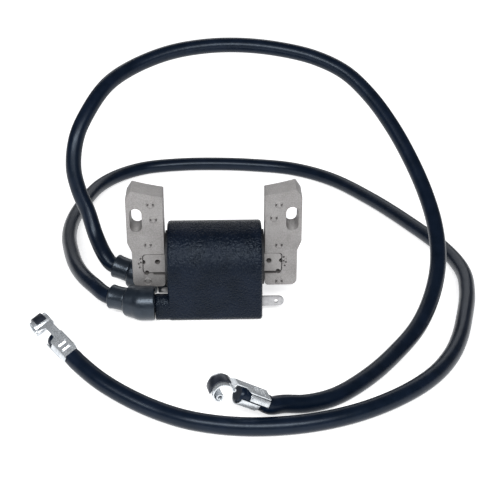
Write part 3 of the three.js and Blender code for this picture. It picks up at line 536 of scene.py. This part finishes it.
# Where each lead runs, in metres: out of its boot, along its route, and into its terminal's crimp
LEADS = {
    "front": {
        "side": -1,
        "direction": (-0.924, 0.381, 0.027),
        "start": (-0.0546, -0.0627, 0.0131),
        "turn": (133.9, 19.0, -23.0),
        "route": [
            (-0.0527, 0.0022, 0.0087), (-0.0577, 0.0104, 0.0086), (-0.0623, 0.0216, 0.008),
            (-0.0666, 0.0384, 0.0067), (-0.07, 0.0584, 0.0051), (-0.0704, 0.079, 0.0038),
            (-0.0672, 0.0995, 0.0036), (-0.0609, 0.121, 0.0036), (-0.0514, 0.1348, 0.0036),
            (-0.038, 0.1444, 0.0036), (-0.0192, 0.1486, 0.0036), (0.001, 0.149, 0.0036),
            (0.022, 0.1465, 0.0036), (0.0425, 0.1408, 0.0036), (0.0619, 0.1264, 0.0036),
            (0.0801, 0.1005, 0.0036), (0.0955, 0.0715, 0.0036), (0.1084, 0.0416, 0.0036),
            (0.1126, 0.02, 0.0036), (0.1106, 0.0, 0.0036), (0.1049, -0.0224, 0.0036),
            (0.0999, -0.038, 0.0036), (0.0937, -0.0517, 0.0036), (0.0846, -0.065, 0.0036),
            (0.0712, -0.0775, 0.0036), (0.0531, -0.0885, 0.0036), (0.033, -0.095, 0.0036),
            (0.011, -0.0964, 0.0036), (-0.008, -0.0924, 0.0036), (-0.0214, -0.086, 0.004),
            (-0.033, -0.08, 0.0062), (-0.0438, -0.073, 0.0092),
        ],
    },
    "rear": {
        "side": 1,
        "direction": (-0.905, 0.379, 0.194),
        "start": (0.0177, -0.0904, 0.0097),
        "turn": (199.2, 33.6, -6.0),
        "route": [
            (-0.0492, 0.0209, 0.0136), (-0.0536, 0.0282, 0.02), (-0.057, 0.0334, 0.0293),
            (-0.0609, 0.0366, 0.0386), (-0.063, 0.04, 0.0486), (-0.0614, 0.0456, 0.0608),
            (-0.0566, 0.0532, 0.0699), (-0.0486, 0.065, 0.0784), (-0.0376, 0.0764, 0.083),
            (-0.021, 0.085, 0.0872), (-0.0036, 0.09, 0.0888), (0.014, 0.0918, 0.0886),
            (0.032, 0.0893, 0.0872), (0.0484, 0.0844, 0.0844), (0.062, 0.0774, 0.0794),
            (0.0729, 0.0677, 0.0711), (0.082, 0.0556, 0.0608), (0.0891, 0.0432, 0.0499),
            (0.0944, 0.0294, 0.0392), (0.097, 0.014, 0.0296), (0.0964, -0.001, 0.0206),
            (0.0918, -0.017, 0.0134), (0.0836, -0.0336, 0.0076), (0.072, -0.0494, 0.0044),
            (0.0584, -0.066, 0.0036), (0.0446, -0.0784, 0.0036), (0.0338, -0.0836, 0.0044),
            (0.0252, -0.0866, 0.0065),
        ],
    },
}


def smooth_route(points, per_span):
    """The centripetal Catmull-Rom curve through points."""
    ends = [points[0] * 2 - points[1]] + points + [points[-1] * 2 - points[-2]]
    out = []
    for p0, p1, p2, p3 in zip(ends, ends[1:], ends[2:], ends[3:]):
        d0, d1, d2 = (math.sqrt((b - a).length) for a, b in ((p0, p1), (p1, p2), (p2, p3)))
        t1 = ((p1 - p0) / d0 - (p2 - p0) / (d0 + d1) + (p2 - p1) / d1) * d1
        t2 = ((p2 - p1) / d1 - (p3 - p1) / (d1 + d2) + (p3 - p2) / d2) * d1
        for k in range(per_span):
            t = k / per_span
            out.append(p1 + t1 * t + (p2 * 3 - p1 * 3 - t1 * 2 - t2) * t * t
                       + (p1 * 2 - p2 * 2 + t1 + t2) * t ** 3)
    return out + [points[-1]]


def terminal_place(lead):
    heading, pitch, roll = (math.radians(a) for a in lead["turn"])
    turn = (Matrix.Rotation(heading, 4, "Z") @ Matrix.Rotation(-pitch, 4, "Y")
            @ Matrix.Rotation(roll, 4, "X"))
    return Matrix.Translation(Vector(lead["start"]) / MM) @ turn


# ---------------------------------------------------------------- leads


def make_lead(name, lead):
    bend = Vector((BEND_X, lead["side"] * TOWER_Y, TOWER_Z))
    out = Vector(lead["direction"]).normalized()
    place = terminal_place(lead)
    points = [bend + out * d for d in (
        LEAD_SEAT, (LEAD_SEAT + COLLAR_END) / 2, COLLAR_END + COLLAR_STRAIGHT)]
    points += [Vector(p) / MM for p in lead["route"]]
    points += [place @ Vector((x, 0, 0)) for x in (-CRIMP_LENGTH / 3, 0, LEAD_TIP / 2, LEAD_TIP)]
    line = smooth_route(points, 10)
    length = sum((b - a).length for a, b in zip(line, line[1:]))
    curve = bpy.data.curves.new(name + "_lead_cable", "CURVE")
    curve.dimensions = "3D"
    curve.bevel_depth = LEAD_RADIUS * MM
    curve.bevel_resolution = 12
    curve.use_fill_caps = True
    spline = curve.splines.new("POLY")
    spline.points.add(len(line) - 1)
    travelled = 0.0
    for i, p in enumerate(line):
        travelled += (p - line[i - 1]).length if i else 0.0
        spline.points[i].co = (*(p * MM), 1)
        left = length - travelled
        if left < LEAD_TIP:
            spline.points[i].radius = LEAD_CRIMPED
        if left < 1.0:
            spline.points[i].radius = LEAD_CRIMPED - 0.18 * (1 - left) ** 2
    spline.use_smooth = True
    obj = bpy.data.objects.new(name + "_lead_cable", curve)
    scene.collection.objects.link(obj)
    curve.materials.append(MATERIALS["lead_jacket"])
    install(obj, name + "_lead")
    return obj, bend + out * LEAD_SEAT, length


cables = {name: make_lead(name, lead) for name, lead in LEADS.items()}

# ---------------------------------------------------------------- coil case


def case_outline(inset=0.0):
    face = CASE_FACE - inset
    foot = CASE_FOOT
    outline = arc(face - foot, foot + inset, foot, -90, 0, 8)
    outline += [(face, z) for z in (8, 13, 18)]
    outline += arc(0, CORE_AXIS, face, 0, 180, 56)
    outline += [(-face, z) for z in (18, 13, 8)]
    return outline + arc(-face + foot, foot + inset, foot, 180, 270, 8)


def make_case():
    body = plate("case_shell", case_outline(), [], rounded_levels(-CASE_HALF, CASE_HALF, CASE_EDGE, 5),
                 "case_plastic", swap=along_x, sharp=30)
    wall = CASE_HALF - CASE_WALL
    face = CASE_FACE - CASE_WALL
    back = CASE_FACE + PAST
    hollow = [(-face, CASE_WALL), (back, CASE_WALL), (back, CORE_AXIS)]
    hollow += arc(0, CORE_AXIS, face, 0, 180, 56)
    combine(body, plate("tool", hollow, [], [(-wall, 0), (wall, 0)], None, swap=along_x))
    combine(body, rod(FLANGE_WINDOW, (0, 0, CORE_AXIS), (1, 0, 0), -30, 30, steps=96))
    for side in (-1, 1):
        axis = (0, side * TOWER_Y, TOWER_Z)
        combine(body, rod(CONTACT_BORE, axis, (-1, 0, 0), wall - PAST, 30, steps=24))
    for xs, ys, zs in (KILL_SPACE, LUG_SPACE):
        outline = box_outline(*xs, *zs, 0.3, 3)
        combine(body, plate("tool", outline, [], [(y, 0) for y in ys], None))
    round_edges(body, 0.18, 2, 50)
    parts = [body]
    for side in (-1, 1):
        y = side * TOWER_Y
        aside = TOWER_RADIUS - TOWER_FOOT
        outline = (arc(y - aside, 3.2, TOWER_FOOT, 180, 270, 6)
                   + arc(y + aside, 3.2, TOWER_FOOT, -90, 0, 6)
                   + arc(y, TOWER_Z, TOWER_RADIUS, 0, 180, 20))
        levels = [(-x, inset) for x, inset in rounded_levels(TOWER_START, TOWER_END, 0.5)]
        parts.append(plate("tower", outline, [circle(y, TOWER_Z, CONTACT_BORE, 24)], levels,
                           "case_plastic", swap=along_x))
        root, tip, chamfer = TOWER_END - 0.4, TOWER_END + SPIGOT_LENGTH, 0.5
        spigot = [(CONTACT_BORE, root), (CONTACT_BORE, tip), (SPIGOT_RADIUS - chamfer, tip),
                  (SPIGOT_RADIUS, tip - chamfer), (SPIGOT_RADIUS, root)]
        parts.append(turned("spigot", spigot, (0, y, TOWER_Z), (-1, 0, 0), "case_plastic"))
    shell = join(parts)
    shade(shell, 32)
    return install(shell, "coil_case")


make_case()

# ---------------------------------------------------------------- laminated core


def stack_levels():
    """Insets along the stack: each sheet's edge, and the fine groove between two sheets."""
    levels = []
    for i in range(SHEETS):
        y0 = -STACK_HALF + i * SHEET_PITCH
        y1 = y0 + SHEET_PITCH
        inset = rng.uniform(0.0, SHEET_UNEVEN)
        levels += [(y0 + GROOVE_FLOOR_HALF, inset + GROOVE_DEPTH), (y0 + GROOVE_HALF, inset),
                   (y1 - GROOVE_HALF, inset), (y1 - GROOVE_FLOOR_HALF, inset + GROOVE_DEPTH)]
    levels[0] = (-STACK_HALF, levels[1][1] + STACK_EDGE)
    levels[1] = (-STACK_HALF + STACK_EDGE, levels[1][1])
    levels[-1] = (STACK_HALF, levels[-2][1] + STACK_EDGE)
    levels[-2] = (STACK_HALF - STACK_EDGE, levels[-2][1])
    return levels


def leg_outline(sign):
    def pole(x):
        dip = POLE_RADIUS - math.sqrt(POLE_RADIUS ** 2 - x ** 2)
        inner_dip = POLE_RADIUS - math.sqrt(POLE_RADIUS ** 2 - LEG_INNER ** 2)
        return POLE_HEIGHT + dip - inner_dip
    pole_outer = LEG_OUTER - POLE_CHAMFER
    outer, inner = LEG_FOOT_OUTER_RADIUS, LEG_FOOT_INNER_RADIUS
    points = [(LEG_INNER, LEG_BOTTOM + inner), (LEG_INNER, pole(LEG_INNER) - 0.3)]
    for i in range(9):
        x = LEG_INNER + 0.3 + (pole_outer - LEG_INNER - 0.5) * i / 8
        points.append((x, pole(x)))
    points += [(pole_outer + 0.15, pole(pole_outer) - 0.25), (LEG_OUTER - 0.15, pole(pole_outer) - 3.5),
               (LEG_OUTER, pole(pole_outer) - 4.1)]
    points += LEG_STEP
    points += arc(LEG_FOOT_OUTER - outer, LEG_BOTTOM + outer, outer, 0, -90, 8)
    points += arc(LEG_INNER + inner, LEG_BOTTOM + inner, inner, -90, -180, 6)[:-1]
    return [(sign * x, z) for x, z in points]


def pressed_dots(places):
    """Round interlock dimples, each with a short mark to its left and right."""
    rings = []
    for x, z in places:
        rings += [(circle(x, z, radius, 28), depth) for radius, depth in DIMPLE_STEPS]
        for way in (-1, 1):
            middle = x + way * MARK_ASIDE
            rings += [(box_outline(middle - half, middle + half, z + low, z + high), depth)
                      for half, low, high, depth in MARK_STEPS]
    return rings


def burrs(x, sign):
    """The ragged, upset metal just past the end of the bar's tongue: pits and raised beads."""
    rings = []
    for dx, z, radius, depth in BURRS:
        rings += [(circle(x + sign * dx, z, radius, 9), 0.0),
                  (circle(x + sign * dx, z, radius * BURR_FLOOR, 9), depth)]
    return rings


def make_leg(name, sign, dots, tongue):
    slot_x = sign * (LEG_OUTER - SLOT_FROM_EDGE)
    slot = box_outline(slot_x - SLOT_HALF_WIDTH, slot_x + SLOT_HALF_WIDTH,
                       SLOT_HEIGHT - SLOT_HALF_LENGTH, SLOT_HEIGHT + SLOT_HALF_LENGTH, 2.49, 12)
    marks = pressed_dots(dots) + burrs(sign * (LEG_INNER + tongue + BURR_FROM_TONGUE), sign)
    leg = plate(name + "_stack", leg_outline(sign), [slot], stack_levels(), "lamination_steel",
                marks, marks, sharp=28)
    through = [(y, 0) for y in ACROSS_STACK]
    low, high = sorted((sign * (LEG_INNER - 3), sign * (LEG_INNER + tongue + GAP)))
    socket = box_outline(low, high, CORE_AXIS - BAR_HALF - GAP, CORE_AXIS + BAR_HALF + GAP,
                         BAR_CORNER, 6)
    combine(leg, plate("tool", socket, [], through, None))
    low, high = sorted((sign * (LEG_INNER - PAST), sign * (LEG_INNER + RELIEF_LENGTH)))
    relief = box_outline(low, high, RELIEF_LOW, RELIEF_HIGH, 0.3, 3)
    combine(leg, plate("tool", relief, [], through, None))
    lock = (sign * (LEG_INNER + tongue - BAR_CORNER), 0, CORE_AXIS - BAR_HALF)
    combine(leg, rod(LOCK_RADIUS, lock, (0, 1, 0), *ACROSS_STACK, steps=28))
    shade(leg, 28)
    return install(leg, name)


make_leg("left_leg", -1, LEFT_DOTS, TONGUE_LEFT)
make_leg("right_leg", 1, RIGHT_DOTS, TONGUE_RIGHT)


def make_core_bar():
    outline = box_outline(-LEG_INNER - TONGUE_LEFT, LEG_INNER + TONGUE_RIGHT,
                          CORE_AXIS - BAR_HALF, CORE_AXIS + BAR_HALF, BAR_CORNER, 6)
    bar = plate("core_bar_stack", outline, [], stack_levels(), "lamination_steel", sharp=28)
    for x, z, radius in BAR_HOLES:
        combine(bar, rod(radius, (x, 0, z), (0, 1, 0), *ACROSS_STACK, steps=28))
    shade(bar, 28)
    return install(bar, "core_bar")


make_core_bar()

# ---------------------------------------------------------------- tabs

kill_low, kill_round = KILL_Z - KILL_HALF, KILL_END - KILL_HALF
kill = [(KILL_START, kill_low), (kill_round, kill_low)]
kill += arc(kill_round, KILL_Z, KILL_HALF, -90, 90, 16) + [(KILL_START, KILL_Z + KILL_HALF)]
kill_blade = plate("kill_blade", kill, [circle(KILL_HOLE[0], KILL_Z, KILL_HOLE[1], 24)],
                   rounded_levels(*KILL_Y, 0.14, 2), "tab_steel")
install(kill_blade, "kill_tab")

lug = [(LUG_START, LUG_Y - LUG_HALF), (LUG_START, LUG_Y + LUG_HALF)]
lug += arc(LUG_END, LUG_Y, LUG_HALF, 90, 270, 16)
ground_lug = plate("ground_lug", lug, [], rounded_levels(*LUG_Z, 0.16, 2), "tab_steel",
                   swap=lambda v: (v[0], v[2], v[1]))
install(ground_lug, "ground_tab")

# ---------------------------------------------------------------- boots and collars


def make_boot(name, lead):
    """A moulded elbow, made as one soft skin over a sleeve, a round knee and a nose."""
    bend = Vector((BEND_X, lead["side"] * TOWER_Y, TOWER_Z))
    out = Vector(lead["direction"]).normalized()
    mouth = BEND_X + TOWER_END + GAP
    profile = [(0.0, mouth)]
    profile += arc(BOOT_RADIUS - BOOT_EDGE, mouth + BOOT_EDGE, BOOT_EDGE, -90, 0, 4)
    profile += arc(0, 0, BOOT_RADIUS, 0, 84, 14) + [(0.0, BOOT_RADIUS)]
    boot = turned(name + "_elbow_boot", profile, bend, (-1, 0, 0), None)
    nose = [(0.0, 0.5), (7.2, 0.5), (6.9, NOSE_END - 0.8), (6.5, NOSE_END - 0.2), (6.2, NOSE_END),
            (0.0, NOSE_END)]
    combine(boot, turned("tool", nose, bend, out, None), "UNION")
    socket_end = TOWER_END + SPIGOT_LENGTH + GAP
    combine(boot, rod(SPIGOT_RADIUS + GAP, (0, bend.y, bend.z), (-1, 0, 0), 20, socket_end))
    combine(boot, rod(LEAD_RADIUS + 0.2, bend, out, -1.5, NOSE_END + 2))
    skin = boot.modifiers.new("skin", "REMESH")
    skin.mode = "VOXEL"
    skin.voxel_size = BOOT_VOXEL * MM
    soften = boot.modifiers.new("soften", "SMOOTH")
    soften.factor = 0.5
    soften.iterations = 6
    bake(boot)
    boot.data.materials.clear()
    boot.data.materials.append(MATERIALS["boot_rubber"])
    shade(boot, 75)
    return install(boot, name + "_lead_boot")


def make_collar(name, lead):
    bend = Vector((BEND_X, lead["side"] * TOWER_Y, TOWER_Z))
    out = Vector(lead["direction"]).normalized()
    start, end = NOSE_END + GAP, COLLAR_END
    inner = LEAD_RADIUS + 0.12
    profile = [(inner, start), (4.5, start)] + arc(4.6, start + 0.5, 0.5, -90, 0, 4)
    profile += [(5.08, start + 1.2), (5.02, start + 3.2), (5.06, end - 2.2), (5.2, end - 1.2)]
    profile += arc(4.8, end - 0.5, 0.5, 0, 90, 5) + [(inner + 0.35, end), (inner, end - 0.4)]
    return install(turned(name + "_boot_collar", profile, bend, out, "boot_rubber", sharp=50),
                   name + "_lead_collar")


# ---------------------------------------------------------------- plug terminals


def sheet_path(path, thickness):
    """The outline of a sheet of some thickness that follows a path."""
    left, right = [], []
    for i, (x, z) in enumerate(path):
        a, b = path[max(i - 1, 0)], path[min(i + 1, len(path) - 1)]
        d = Vector((b[0] - a[0], b[1] - a[1])).normalized() * thickness / 2
        left.append((x - d.y, z + d.x))
        right.append((x + d.y, z - d.x))
    return left + right[::-1]


def grid_sheet(name, count_u, count_v, surface, thickness, slot, place):
    """A sheet from a grid of points, thickened evenly on both sides of it."""
    verts = [surface(i / (count_u - 1), j / (count_v - 1))
             for i in range(count_u) for j in range(count_v)]
    faces = [(i * count_v + j, i * count_v + j + 1, (i + 1) * count_v + j + 1, (i + 1) * count_v + j)
             for i in range(count_u - 1) for j in range(count_v - 1)]
    obj = make_piece(name, verts, faces, slot, 40, place)
    solid = obj.modifiers.new("thickness", "SOLIDIFY")
    solid.thickness = thickness * MM
    solid.offset = 0.0
    bake(obj)
    round_edges(obj, 0.1, 2, 60)
    shade(obj, 40)
    return obj


def make_terminal(name, lead):
    place = terminal_place(lead)

    def ease(value, start, end):
        t = min(max((value - start) / (end - start), 0.0), 1.0)
        return t * t * (3 - 2 * t)

    def strip(u, v):
        """The flat top: two ribs over the crimp, then a neck cut away on one side."""
        x = STRIP_START + STRIP_LENGTH * u
        cut = ease(x, 9.2, 10.4) * (1 - ease(x, 15.4, 17.0))
        wider = SHOULDER * ease(x, 16.4, 18.0)
        edge = STRIP_HALF + (NECK_EDGE - STRIP_HALF) * cut + wider
        low = -STRIP_HALF - wider
        y = low + (edge - low) * v
        z = STRIP_HEIGHT
        for rib in RIBS:
            along = math.exp(-((x - rib) / 0.5) ** 2)
            across = 1 / (1 + math.exp((abs(y) - RIB_HALF) / 0.12))
            z += 0.5 * along * across
        return x, y, z - STRIP_DROP * ease(x, 14.2, 18.2)

    def wing(first, last, start, end):
        """A wing bent round the lead, from one angle to another, measured from the top."""
        def surface(u, v):
            angle = math.radians(first + (last - first) * v)
            x = start + (end - start) * u
            return x, WRAP_RADIUS * math.sin(angle), WRAP_RADIUS * math.cos(angle)
        return surface

    parts = [
        grid_sheet(name + "_terminal_body", 120, 40, strip, SHEET, "terminal_plate", place),
        grid_sheet("wing", 12, 16, wing(44, 80, 0.0, 8.6), SHEET, "terminal_plate", place),
        grid_sheet("wing", 12, 60, wing(-44, -273, 3.4, 11.8), SHEET, "terminal_plate", place),
    ]

    def from_head(radius, degrees):
        angle = math.radians(degrees)
        return HEAD_X + radius * math.cos(angle), HEAD_Z + radius * math.sin(angle)

    roll_x, roll_z = from_head(HEAD_RADIUS - ROLL_INNER - ROLL_GROWTH, HEAD_START)
    spiral = []
    for k in range(ROLL_STEPS + 1):
        radius = ROLL_INNER + ROLL_GROWTH * k / ROLL_STEPS
        angle = math.radians(HEAD_START + ROLL_STEP * (k - ROLL_STEPS))
        spiral.append((roll_x + radius * math.cos(angle), roll_z + radius * math.sin(angle)))
    lip = arc(*from_head(HEAD_RADIUS + LIP_RADIUS, HEAD_END), LIP_RADIUS, -42, -292, 12)
    path = spiral + arc(HEAD_X, HEAD_Z, HEAD_RADIUS, HEAD_START + 4, HEAD_END - 2, 56) + lip
    parts.append(plate("head", sheet_path(path, SHEET), [],
                       rounded_levels(-HEAD_HALF, HEAD_HALF, 0.12, 2),
                       "terminal_plate", place=place, sharp=50))
    body = join(parts)
    shade(body, 45)
    install(body, name + "_plug_terminal")
    clip_path = arc(HEAD_X, HEAD_Z, CLIP_RADIUS, -36, 104, 40)
    clip = plate(name + "_spring_clip", sheet_path(clip_path, CLIP_SHEET), [],
                 rounded_levels(-CLIP_HALF, CLIP_HALF, 0.2, 3), "clip_steel", place=place, sharp=50)
    install(clip, name + "_snap_clip")
    return body, clip


for lead_name, lead_facts in LEADS.items():
    make_boot(lead_name, lead_facts)
    make_collar(lead_name, lead_facts)
    terminal_piece, clip_piece = make_terminal(lead_name, lead_facts)
    cable, leaves, cable_length = cables[lead_name]

# ---------------------------------------------------------------- floor and light

floor_mesh = bpy.data.meshes.new("floor")
FLOOR_HALF = 15.0  # metres
floor_corners = [(x * FLOOR_HALF, y * FLOOR_HALF, 0) for x, y in ((-1, -1), (1, -1), (1, 1), (-1, 1))]
floor_mesh.from_pydata(floor_corners, [], [(0, 1, 2, 3)])
floor = bpy.data.objects.new("floor", floor_mesh)
floor.location.z = -0.0002
scene.collection.objects.link(floor)
floor_mat, _, floor_shader, _ = new_material("floor_paper")
floor_shader.inputs["Base Color"].default_value = (0.9, 0.9, 0.905, 1)
floor_shader.inputs["Roughness"].default_value = 0.9
floor_shader.inputs["Emission Color"].default_value = (1, 1, 1, 1)
floor_shader.inputs["Emission Strength"].default_value = 0.62
floor_mesh.materials.append(floor_mat)

world = bpy.data.worlds.new("studio")
world.use_nodes = True
world.node_tree.nodes["Background"].inputs["Color"].default_value = (0.93, 0.96, 1.0, 1)
world.node_tree.nodes["Background"].inputs["Strength"].default_value = 0.14
scene.world = world


def soft_light(name, location, target, size, power):
    data = bpy.data.lights.new(name, "AREA")
    data.shape = "RECTANGLE"
    data.size, data.size_y = size
    data.energy = power
    obj = bpy.data.objects.new(name, data)
    obj.location = location
    obj.rotation_euler = (Vector(target) - Vector(location)).to_track_quat("-Z", "Y").to_euler()
    scene.collection.objects.link(obj)


soft_light("key", (-0.05, -0.68, 0.6), (0, 0, 0.02), (1.0, 0.2), 10)
soft_light("back", (0.0, 0.9, 0.55), (0, 0.05, 0.02), (1.2, 0.35), 2.2)
